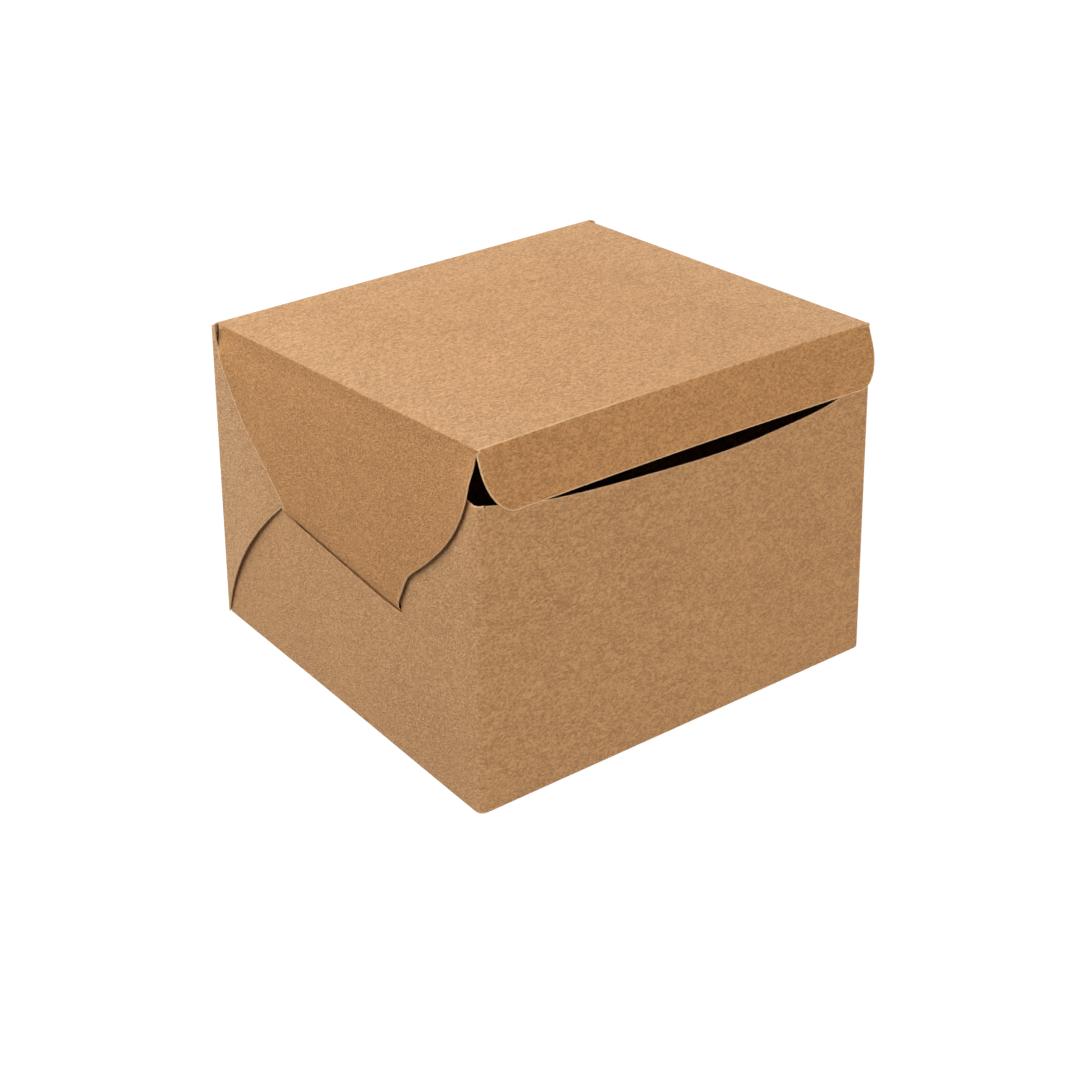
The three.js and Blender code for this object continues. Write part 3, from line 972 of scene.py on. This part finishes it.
@dataclass
class FrontWall:
    """Front wall with the dip in its upper edge, and the soft creases at its ends."""

    bindery: Bindery
    edge_ratios: tuple[float, ...] = (-0.925, -0.625, -0.155, 0.22, 0.477, 0.743, 0.93)
    edge_drops: tuple[float, ...] = (7.25, 12.1, 15.5, 16.9, 16.05, 14.05, 9.6)

    def build(self) -> None:
        """Makes the wall and its two corner creases."""
        self._wall()
        self._corners()

    def _wall(self) -> None:
        """Wall between its creases."""
        half = SIZES.half_width - SIZES.corner_radius - SIZES.lead
        foot = SIZES.fold_radius + SIZES.lead
        knots = [(half, SIZES.front_height)]
        for ratio, drop in zip(reversed(self.edge_ratios), reversed(self.edge_drops)):
            knots.append((ratio * SIZES.half_width, SIZES.hinge_height - drop))
        knots.append((-half, SIZES.front_height))
        outline = [(half, foot), knots[0], *smooth_through(knots), (-half, foot)]
        scores = grid((-half, half), (foot, SIZES.corner_height))
        painted_tones = (PaintedTone.FRONT, PaintedTone.FRONT)
        blank = Blank(outline, scores, seams_u=(-half, half), seams_v=(foot,), painted_tones=painted_tones)

        def place(u: float, v: float, height: float) -> Vector:
            """Stands the wall up, loose between its creases."""
            hold = free(half - abs(u), v - foot)
            bow = SIZES.waviness * hold * ripple(u, v)
            return SIZES.lean(u, -SIZES.half_depth - bow - height, v)

        self.bindery.piece("front_wall", blank, place, "tray")

    def _corners(self) -> None:
        """Upright creases that turn the front wall into the side walls."""
        radius = SIZES.corner_radius
        painted_tones = (PaintedTone.SIDE, PaintedTone.FRONT)
        crease = Crease(radius, math.pi, 3 * QUARTER, (SIZES.side_lift, SIZES.front_height), painted_tones=painted_tones)

        def blank() -> Blank:
            """Strip whose top slopes from the side wall down to the front wall."""
            strip = crease.blank()
            low, high = strip.seams_u
            strip.outline[2:] = [(high, SIZES.front_height), (low, SIZES.corner_height)]
            return strip

        place = crease.upright(radius - SIZES.half_width, radius - SIZES.half_depth)
        self.bindery.pair("front_crease", blank, place, "tray")


@dataclass
class SideWalls:
    """Side walls, each with the slit for a tongue of the lid and a relief cut at its rear top corner."""

    bindery: Bindery
    rise: float = 14.0
    rear_clearance: float = 0.5
    slot_start: float = 2.3
    slot_height: float = 2.0
    slot_sag: float = 1.5
    slot_end_sag: float = 0.6
    slot_taper: float = 12.0
    relief: Point = (12.0, 14.0)

    @property
    def front(self) -> float:
        """Front end of a wall, from the back of the box."""
        return SIZES.depth - SIZES.corner_radius - SIZES.lead

    @property
    def rear(self) -> float:
        """Rear end of a wall."""
        return SIZES.fold_radius + self.rear_clearance

    def build(self) -> None:
        """Makes the two walls."""
        self.bindery.pair("side_wall", self._blank, self._place, "tray")

    def _blank(self) -> Blank:
        """Wall with its slit."""
        knee = (self.front - self.rise, SIZES.side_height)
        shoulder = (self.front - self.rise / 2, SIZES.corner_height)
        corner = (self.front, SIZES.corner_height)
        outline = [(self.rear, SIZES.side_lift), (self.front, SIZES.side_lift), corner]
        outline += quadratic(corner, shoulder, knee)
        outline.append((self.rear + self.relief[0], SIZES.side_height))
        outline.append((self.rear, SIZES.side_height - self.relief[1]))
        length = SIZES.slit_length
        window = [
            SIZES.beside_slit(self.slot_start, -self.slot_end_sag),
            SIZES.beside_slit(self.slot_taper, -self.slot_sag),
            SIZES.beside_slit(length - self.slot_taper, -self.slot_sag),
            SIZES.beside_slit(length, -self.slot_end_sag),
            SIZES.beside_slit(length, self.slot_height),
            SIZES.beside_slit(self.slot_start, self.slot_height),
        ]
        scores = grid((self.rear, self.front), (SIZES.side_lift, SIZES.side_height))
        # No pale edges here: the slit's lip takes the face's darker colour as painted shade.
        return Blank(outline, scores, window, (self.front,), rim_wear_and_highlight=(0.0, 0.0), pale_edges=False)

    def _place(self, u: float, v: float, height: float) -> Vector:
        """Stands the left wall up, pressed in by the lid's wing."""
        bow = SIZES.waviness * free(self.front - u) * ripple(u, v) - SIZES.pressed(u, v)
        return SIZES.lean(-SIZES.half_width - bow - height, SIZES.half_depth - u, v)


@dataclass
class BackWall:
    """Back wall, the creases at its ends and the ears glued over the side walls."""

    bindery: Bindery
    crease_foot: float = 0.6
    ear_foot: float = 1.4
    ear_belly: Point = (10.1, 32.1)
    ear_nose: float = 8.0
    ear_tip: Point = (2.4, 1.7)
    ear_top: float = 0.9
    ear_brow: Point = (4.4, 28.0)
    ear_lift: float = 0.8
    ear_reach: float = 24.0
    ear_spring: float = 0.7
    ear_pitch: Point = (4.0, 5.0)
    wave_shift: float = 40.0

    def build(self) -> None:
        """Makes the wall, its creases and its ears."""
        self._wall()
        self._creases()
        self.bindery.pair("rear_ear", self._ear, self._ear_place, "tray")

    def _wall(self) -> None:
        """Wall between its creases."""
        half = SIZES.ear_face - SIZES.fold_radius - SIZES.lead
        foot = SIZES.fold_radius + SIZES.lead
        top = SIZES.hinge.z - SIZES.lead
        across, up = (-half, half), (foot, top)
        blank = Blank(rectangle(across, up), grid(across, up), seams_u=across, seams_v=up)

        def place(u: float, v: float, height: float) -> Vector:
            """Stands the wall up, loose between its creases."""
            hold = free(half - abs(u), v - foot, top - v)
            bow = SIZES.waviness * hold * ripple(u + self.wave_shift, v)
            return SIZES.lean(-u, SIZES.half_depth + bow + height, v)

        self.bindery.piece("back_wall", blank, place, "tray")

    def _creases(self) -> None:
        """Upright creases that turn the back wall into the ears."""
        radius = SIZES.fold_radius
        painted_tones = (PaintedTone.SIDE, PaintedTone.EAR)
        crease = Crease(radius, QUARTER, math.pi, (self.crease_foot, SIZES.ear_height), painted_tones=painted_tones)
        place = crease.upright(radius - SIZES.ear_face, SIZES.half_depth - radius)
        self.bindery.pair("rear_crease", crease.blank, place, "tray")

    @property
    def _fold(self) -> float:
        """Start of the ears, from the back of the box."""
        return SIZES.fold_radius + SIZES.lead

    def _lower_edge(self) -> list[Point]:
        """Curved lower edge of an ear, from its crease to the slit."""
        start = (self._fold, self.ear_foot)
        return [start, *quadratic(start, self.ear_belly, SIZES.slit_rear)]

    def _ear(self) -> Blank:
        """Ear that sweeps up from the rear corner and ends under the lid's wing."""
        nose = SIZES.beside_slit(self.ear_nose, SIZES.tongue_root + self.ear_nose)
        step = SIZES.beside_slit(*self.ear_tip)
        brow = (self.ear_top + self._fold, SIZES.ear_height)
        outline = self._lower_edge() + [step, nose]
        turn = (self.ear_brow[0], SIZES.hinge_height - self.ear_brow[1])
        outline += quadratic(nose, turn, brow) + [(self._fold, SIZES.ear_height)]
        scores = grid((self._fold, nose[0]), (self.ear_foot, SIZES.ear_height), self.ear_pitch)
        painted_tones, bend = (PaintedTone.EAR, PaintedTone.SIDE), SIZES.slit_rear[0] + self.ear_nose
        return Blank(outline, scores, seams_u=(self._fold,), painted_tones=painted_tones, bend=bend)

    def _ear_place(self, u: float, v: float, height: float) -> Vector:
        """Lays the left ear on the side wall, its lower edge sprung away from the wall."""
        reach = (u - self._fold) / (SIZES.slit_rear[0] - self._fold)
        edge = min(self._lower_edge(), key=lambda p: abs(p[0] - u))
        spring = math.sin(math.pi * min(1.0, max(0.0, reach)) ** self.ear_spring)
        bow = self.ear_lift * spring * ease(1.0 - (v - edge[1]) / self.ear_reach)
        bow -= SIZES.pressed(u, v)
        return SIZES.lean(-SIZES.ear_face - bow - height, SIZES.half_depth - u, v)


@dataclass
class Lid:
    """Lid panel, the folds at its four edges and the flap in front."""

    bindery: Bindery
    crease_end: float = 0.1
    hinge_end: float = 0.8
    corner_shares: tuple[float, ...] = (0.0, 0.3, 0.6, 0.85)
    # Fold's pale line: worn fibres and a painted highlight, strongest at the left.
    front_wear_and_highlight: float = 0.45
    flap_depth: float = 19.5
    flap_end: float = -0.2
    flap_shift: float = -0.7
    flap_corner: Point = (9.0, 14.0)
    flap_sag: float = 0.9
    flap_pitch: Point = (5.0, 3.0)
    corner_steps: int = 6
    margin: float = 36.0
    free_reach: float = 14.0

    def build(self) -> None:
        """Makes the lid's own pieces."""
        self._panel()
        self._hinge()
        self._front_fold()
        self._side_folds()
        self._flap()

    def _panel(self) -> None:
        """Top of the box."""
        half = SIZES.lid_half - SIZES.fold_radius - SIZES.lead
        front, rear = SIZES.lead - SIZES.lid_run, -SIZES.lead
        across, along = (-half, half), (front, rear)
        blank = Blank(rectangle(across, along), grid(across, along), seams_u=across, seams_v=along)

        def place(u: float, v: float, height: float) -> Vector:
            """Lays the panel on the box, loose between its folds."""
            hold = free(half - abs(u), v - front, rear - v, reach=self.free_reach)
            bow = SIZES.waviness * hold * ripple(u, v)
            return SIZES.lid_place @ Vector((u, v, SIZES.fold_radius + bow + height))

        def painted_shade(u: float, v: float) -> float:
            """Painted light of the panel, paler towards its sides and its back."""
            inland = ease(min(half - abs(u), rear - v) / self.margin)
            return PaintedTone.LID_MARGIN.value + (PaintedTone.LID.value - PaintedTone.LID_MARGIN.value) * inland

        self.bindery.piece("lid_panel", blank, place, "lid", painted_shade=painted_shade)

    def _hinge(self) -> None:
        """Crease between the back wall and the lid, which bends as the lid opens."""
        radius = SIZES.fold_radius
        half = SIZES.lid_half + self.hinge_end
        painted_tones = (PaintedTone.SIDE, PaintedTone.LID_MARGIN)
        crease = Crease(radius, SIZES.wall_lean, QUARTER - SIZES.lid_tilt, (-half, half), painted_tones=painted_tones)

        def place(u: float, v: float, height: float) -> Vector:
            """Turns the section to Y and Z and sweeps it along X."""
            a, b = crease.section(u, height)
            return SIZES.hinge + Vector((v, a, b))

        made = self.bindery.piece("lid_hinge_crease", crease.blank(), place)
        start = place(0.0, 0.0, -SIZES.board) * MM
        end = place(crease.arc, 0.0, -SIZES.board) * MM
        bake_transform(made, "tray", "lid", start=tuple(start), end=tuple(end))

    def _front_fold(self) -> None:
        """Crease between the lid and its flap."""
        half = SIZES.lid_half - self.crease_end
        painted_tones, turn = (PaintedTone.LID, PaintedTone.FLAP), QUARTER + SIZES.flap_bend
        crease = Crease(SIZES.fold_radius, QUARTER, turn, (-half, half), painted_tones=painted_tones)

        def place(u: float, v: float, height: float) -> Vector:
            """Turns the section to the lid's Y and Z and sweeps it along X."""
            a, b = crease.section(u, height)
            return SIZES.lid_place @ Vector((v, a - SIZES.lid_run, b))

        def wear_and_highlight(u: float, v: float) -> float:
            """Wear and painted highlight along the fold's upper edge, strongest at its left end."""
            return self.front_wear_and_highlight * hump(u, -SIZES.lead, crease.arc) * ease(0.5 - v / half / 2)

        made = self.bindery.piece("lid_front_crease", crease.blank(), place, wear_and_highlight=wear_and_highlight)
        start = self.bindery.settle(place(0.0, 0.0, -SIZES.board))
        reach = self.bindery.settle(place(crease.arc + SIZES.lead, 0.0, -SIZES.board)).y - start.y
        end = start + Vector((0.0, reach, 0.0))
        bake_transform(made, "lid", "flap", start=tuple(start * MM), end=tuple(end * MM))

    def _side_folds(self) -> None:
        """Creases between the lid and its wings, closed over the lid's corners."""
        radius = SIZES.fold_radius
        front, rear = -SIZES.lid_run, 0.0
        painted_tones, turn = (PaintedTone.LID_MARGIN, PaintedTone.WING), math.pi - SIZES.wall_lean
        crease = Crease(radius, QUARTER, turn, (front, rear), painted_tones=painted_tones)
        tips = (radius * SIZES.flap_bend, radius * (QUARTER - SIZES.lid_tilt))

        def blank() -> Blank:
            """Strip whose two ends run on over the corners of the lid."""
            strip = crease.blank()
            low, high = strip.seams_u
            corner = [(crease.arc * share, 1 - share * share) for share in self.corner_shares]
            strip.outline = [(low, front - tips[0])] + [(u, front - tips[0] * rest) for u, rest in corner]
            strip.outline += [(high, front), (high, rear)]
            strip.outline += [(u, rear + tips[1] * rest) for u, rest in reversed(corner)]
            strip.outline += [(low, rear + tips[1])]
            strip.scores += scores_between(front - tips[0], front, tips[0] / self.corner_steps, 1)
            strip.scores += scores_between(rear, rear + tips[1], tips[1] / self.corner_steps, 1)
            return strip

        def place(u: float, v: float, height: float) -> Vector:
            """Turns the section to the lid's X and Z, sweeps it along Y and bends its ends down."""
            a, b = crease.section(u, height)
            y = min(rear, max(front, v))
            turn = (v - y) / radius
            spot = (radius - SIZES.lid_half + a, y + b * math.sin(turn), b * math.cos(turn))
            return SIZES.lid_place @ Vector(spot)

        for side, made in self.bindery.pair("lid_crease", blank, place).items():
            x = SIZES.lid_half * side.value
            run = self._settled(x, front, 0.0) - self._settled(x, rear, 0.0)
            run.normalize()
            top = self._settled(x, front / 2, radius - SIZES.board)
            drop = self._settled(x, front / 2, -SIZES.lead) - top
            foot = top + drop - run * drop.dot(run)
            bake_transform(made, "lid", f"{side.word}_wing", start=tuple(top * MM), end=tuple(foot * MM))

    def _settled(self, x: float, y: float, z: float) -> Vector:
        """Where a place of the lid comes to lie once the lid has settled on the box."""
        return self.bindery.settle(SIZES.lid_place @ Vector((x, y, z)))

    def _flap(self) -> None:
        """Flap that hangs in front, with its large round lower corners."""
        half = SIZES.lid_half - self.flap_end
        width, low = self.flap_corner[0], self.flap_corner[1] - self.flap_depth
        outline = [(half, -SIZES.lead), (-half, -SIZES.lead)]
        outline += elliptic((width - half, low), self.flap_corner, math.pi, 3 * QUARTER)
        outline += elliptic((half - width, low), self.flap_corner, 3 * QUARTER, 4 * QUARTER)
        scores = grid((-half, half), (-self.flap_depth, -SIZES.lead), self.flap_pitch)
        blank = Blank(outline, scores, seams_v=(-SIZES.lead,), painted_tones=(PaintedTone.FLAP, PaintedTone.FLAP))

        def place(u: float, v: float, height: float) -> Vector:
            """Hangs the flap from its fold, its middle drawn in a little."""
            sag = self.flap_sag * hump(u, -1.1 * half, 1.1 * half) * (v / self.flap_depth) ** 2
            return SIZES.flap_place @ Vector((u + self.flap_shift, sag - SIZES.fold_radius - height, v))

        self.bindery.piece("front_flap", blank, place, "flap")


@dataclass
class LidWings:
    """Wings at the lid's sides, each with a tongue that dives through the slit in the side wall."""

    bindery: Bindery
    rear_edge: tuple[Point, ...] = ((0.5, 0.4), (1.6, 7.5), (5.8, 17.8), (13.0, 30.0), (24.0, 40.8))
    rear_root: float = 2.2
    front_start: float = -0.8
    front_belly: Point = (2.2, 26.8)
    shoulder_step: float = 5.8
    shoulder_rise: float = 13.6
    shoulder_round: Point = (3.2, 2.6)
    tongue_length: float = 12.0
    tongue_taper: float = 5.0
    slack: float = 0.5
    dive_low: float = -3.0
    dive_high: float = 1.1
    dive_steps: int = 14
    root_depth: float = 3.6
    curl: float = 0.7
    curl_reach: float = 6.0
    curl_foot: float = -0.65
    curl_start: float = 12.0
    edge_draw: float = 0.2
    # The wings' wide pale rim is chiefly a painted highlight of the edges catching light, with some edge
    # wear.
    rim_width: float = 0.9
    rim_wear_and_highlight: Point = (0.85, 0.25)
    bulge_reach: float = 12.0
    bulge_pitch: float = 1.0
    draw_share: float = 0.55
    draw_reach: float = 40.0
    fold_reach: float = 14.0
    root_rise: float = 3.0
    waviness: float = 0.1
    pitch: float = 6.0

    @property
    def dive(self) -> float:
        """How far the tongue goes in behind the wing's face."""
        return 3 * SIZES.layer + self.slack

    @property
    def bulge(self) -> float:
        """How far a wing bulges out from its fold to lie over the ear."""
        return SIZES.wing_face - SIZES.rim_inset - SIZES.lid_half

    def build(self) -> None:
        """Makes the wings and their tongues."""
        for name, blank in (("lid_wing", self._wing), ("lock_tongue", self._tongue)):
            for side, made in self.bindery.pair(name, blank, self._place).items():
                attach(made, f"{side.word}_wing")

    def _on_wing(self, spot: Point) -> Vector:
        """Place on the wing of a place on the side wall: along the fold, and up from it."""
        y = SIZES.lean(0.0, SIZES.half_depth - spot[0], spot[1]).y
        ahead, below = SIZES.hinge.y - y, SIZES.hinge.z - spot[1]
        tilt = SIZES.lid_tilt
        return Vector(
            (
                ahead * math.cos(tilt) - below * math.sin(tilt),
                -ahead * math.sin(tilt) - below * math.cos(tilt),
            )
        )

    def _slit(self) -> tuple[Vector, Vector, float]:
        """The slit as the wing sees it: its rear end, its direction and its length."""
        rear = self._on_wing(SIZES.slit_rear)
        run = self._on_wing(SIZES.slit_front) - rear
        return rear, run.normalized(), run.length

    def _beside(self, along: float, above: float) -> Point:
        """Place on the wing, from how far along the slit and how far above it."""
        rear, run, _ = self._slit()
        return (rear.x + run.x * along - run.y * above, rear.y + run.y * along + run.x * above)

    def _wing(self) -> Blank:
        """Wing that sweeps in from both ends of its fold to the tongue's root."""
        _, run, length = self._slit()
        gap = SIZES.layer_gap
        slit_end = Vector(self._beside(length, 0.0))
        front_foot = Vector(self._beside(length - gap, SIZES.tongue_root))
        shoulder = slit_end + Vector((self.shoulder_step, self.shoulder_rise))
        brow = shoulder + Vector(self.shoulder_round)
        lower = shoulder.lerp(front_foot, self.shoulder_round[1] / self.shoulder_rise)
        rear_edge = [(along, -below) for along, below in self.rear_edge]
        top_front = (SIZES.lid_run + self.front_start, -SIZES.lead)
        belly = (SIZES.lid_run - self.front_belly[0], -self.front_belly[1])
        root = gap + self.rear_root
        outline = [rear_edge[0], *smooth_through(rear_edge + [self._beside(root, SIZES.tongue_root)])]
        outline += [self._beside(root, -self.root_depth), self._beside(length - gap, -self.root_depth)]
        outline += [tuple(front_foot), tuple(lower)]
        outline += quadratic(tuple(lower), tuple(shoulder), tuple(brow))
        outline += quadratic(tuple(brow), belly, top_front)
        low = min(v for _, v in outline)
        scores = scores_between(0.0, SIZES.lid_run, self.pitch, 0)
        scores += scores_between(low, -self.bulge_reach, self.pitch, 1)
        scores += scores_between(-self.bulge_reach, -SIZES.lead, self.bulge_pitch, 1)
        for i in range(2 * self.dive_steps + 1):
            above = self.dive_low + (self.curl_reach - self.dive_low) * i / (2 * self.dive_steps)
            scores.append(Score(self._beside(0.0, above), (-run.y, run.x)))
        blank = Blank(outline, scores, seams_v=(-SIZES.lead,), painted_tones=(PaintedTone.WING, PaintedTone.WING))
        return replace(blank, rim_width=self.rim_width, rim_wear_and_highlight=self.rim_wear_and_highlight, bend=SIZES.lid_run)

    def _tongue(self) -> Blank:
        """Tongue behind the side wall, narrowing downwards."""
        length = self._slit()[2]
        gap, taper = SIZES.layer_gap, self.tongue_taper
        high, low = -self.root_depth, -self.tongue_length
        outline = [
            self._beside(gap, high),
            self._beside(gap + taper, low),
            self._beside(length - gap - taper, low),
            self._beside(length - gap, high),
        ]
        scores = scores_between(outline[0][0], outline[3][0], self.pitch, 0)
        return Blank(outline, scores, painted_tones=(PaintedTone.WING, PaintedTone.WING))

    def _place(self, u: float, v: float, height: float) -> Vector:
        """Hangs the left wing from its fold; below its root it dives in through the slit."""
        rear, run, _ = self._slit()
        offset = Vector((u, v)) - rear
        above = run.x * offset.y - run.y * offset.x
        inward = self.dive * (1.0 - ease((above - self.dive_low) / (self.dive_high - self.dive_low)))
        curled = min(1.0, max(0.0, 1.0 - (above - self.curl_foot) / self.curl_reach))
        inward += self.curl * curled * curled * ease(run.dot(offset) / self.curl_start)
        below = free(-v, reach=self.fold_reach)
        front_edge = free(u - self.draw_share * SIZES.lid_run, reach=self.draw_reach) * below
        hold = below * free(above - self.root_rise)
        fold = SIZES.wing_place @ Vector((0.0, -u, v))
        swell = ease(-(v + SIZES.lead) / self.bulge_reach)
        bow = (self.bulge - SIZES.pressed(SIZES.half_depth - fold.y, fold.z)) * swell
        bow += self.waviness * hold * ripple(u, v) - self.edge_draw * front_edge - inward
        return SIZES.wing_place @ Vector((-SIZES.fold_radius - bow - height, -u, v))


@dataclass(frozen=True)
class Lamp:
    """Square soft light that faces the box."""

    name: str
    spot: tuple[float, float, float]
    size: float
    power: float
    aim: tuple[float, float, float] = (0.0, 0.0, 0.06)

    def build(self) -> None:
        """Sets the light up."""
        data = bpy.data.lights.new(self.name, "AREA")
        data.shape, data.size, data.energy = "SQUARE", self.size, self.power
        lamp = bpy.data.objects.new(self.name, data)
        lamp.location = self.spot
        lamp.rotation_euler = (Vector(self.aim) - Vector(self.spot)).to_track_quat("-Z", "Y").to_euler()
        bpy.context.scene.collection.objects.link(lamp)


@dataclass
class Studio:
    """Camera, soft lights and white floor."""

    camera_place: tuple[float, float, float] = (-0.38031, -0.501686, 0.389279)
    camera_back: tuple[float, float, float] = (-0.52669, -0.694506, 0.490163)
    lens: float = 70.139
    sky: float = 0.06
    lamps: tuple[Lamp, ...] = (
        Lamp("key_softbox", (-0.84, 0.49, 1.06), 1.3, 25.8),
        Lamp("fill_softbox", (-0.08, -1.34, 0.2), 0.6, 13.5),
        Lamp("rim_softbox", (1.2, 0.15, 0.45), 0.6, 7.5),
    )
    floor_glow: float = 0.97
    floor_tone: float = 0.09
    floor_size: float = 12.0

    def build(self) -> None:
        """Sets up the camera, the lights and the floor."""
        self._camera()
        self._world()
        for lamp in self.lamps:
            lamp.build()
        self._floor()
        bpy.context.scene.view_settings.view_transform = "Standard"

    def _camera(self) -> None:
        """Camera at the photograph's place."""
        data = bpy.data.cameras.new("photo_camera")
        data.lens = self.lens
        data.sensor_width = 36.0
        data.clip_start, data.clip_end = 0.01, 50.0
        camera = bpy.data.objects.new("photo_camera", data)
        camera.location = self.camera_place
        camera.rotation_euler = (-Vector(self.camera_back)).to_track_quat("-Z", "Y").to_euler()
        bpy.context.scene.collection.objects.link(camera)
        bpy.context.scene.camera = camera

    def _world(self) -> None:
        """Even white sky, pure white where the camera sees it."""
        s = Shader(bpy.data.worlds.new("white_sky"))
        strength = s.span(s.seen(), (0.0, 1.0), (self.sky, 1.0))
        sky = s.node("Background", {"Color": (1.0, 1.0, 1.0, 1.0), "Strength": strength})
        bpy.context.scene.world = s.finish(sky.outputs["Background"], "OutputWorld")

    def _floor(self) -> None:
        """White floor that keeps the box's shadow."""
        bm = bmesh.new()
        bmesh.ops.create_grid(bm, x_segments=4, y_segments=4, size=self.floor_size / 2)
        mesh = bpy.data.meshes.new("white_floor")
        bm.to_mesh(mesh)
        bm.free()
        s = Shader(bpy.data.materials.new("white_floor"))
        tone = (self.floor_tone, self.floor_tone, self.floor_tone, 1.0)
        shaded = s.node("BsdfDiffuse", {"Color": tone}).outputs[0]
        glow = s.node("Emission", {"Strength": self.floor_glow}).outputs[0]
        lit = s.node("AddShader", {0: shaded, 1: glow}).outputs[0]
        mesh.materials.append(s.finish(s.node("MixShader", {0: s.seen(), 1: shaded, 2: lit}).outputs[0]))
        floor = bpy.data.objects.new("white_floor", mesh)
        bpy.context.scene.collection.objects.link(floor)


def main() -> None:
    """Builds the box and its studio."""
    logging.basicConfig(level=logging.INFO, format="%(message)s")
    Studio().build()
    dark, light = (0.43, 0.226, 0.096), (0.74, 0.412, 0.192)
    bindery = Bindery(
        panel=KraftFinish("kraft_board", dark, light).material(),
        fold=KraftFinish("kraft_fold", dark, light).material(),
        edge=CutEdgeFinish().material(),
        inside=KraftFinish("kraft_inside", (0.40, 0.225, 0.11), (0.64, 0.40, 0.22)).material(),
    )
    for part in (Floor, FrontWall, SideWalls, BackWall):
        part(bindery).build()
    for part in (Lid, LidWings):
        part(replace(bindery, settle=SIZES.twisted)).build()
    bpy.context.view_layer.update()


if __name__ == "__main__":
    main()
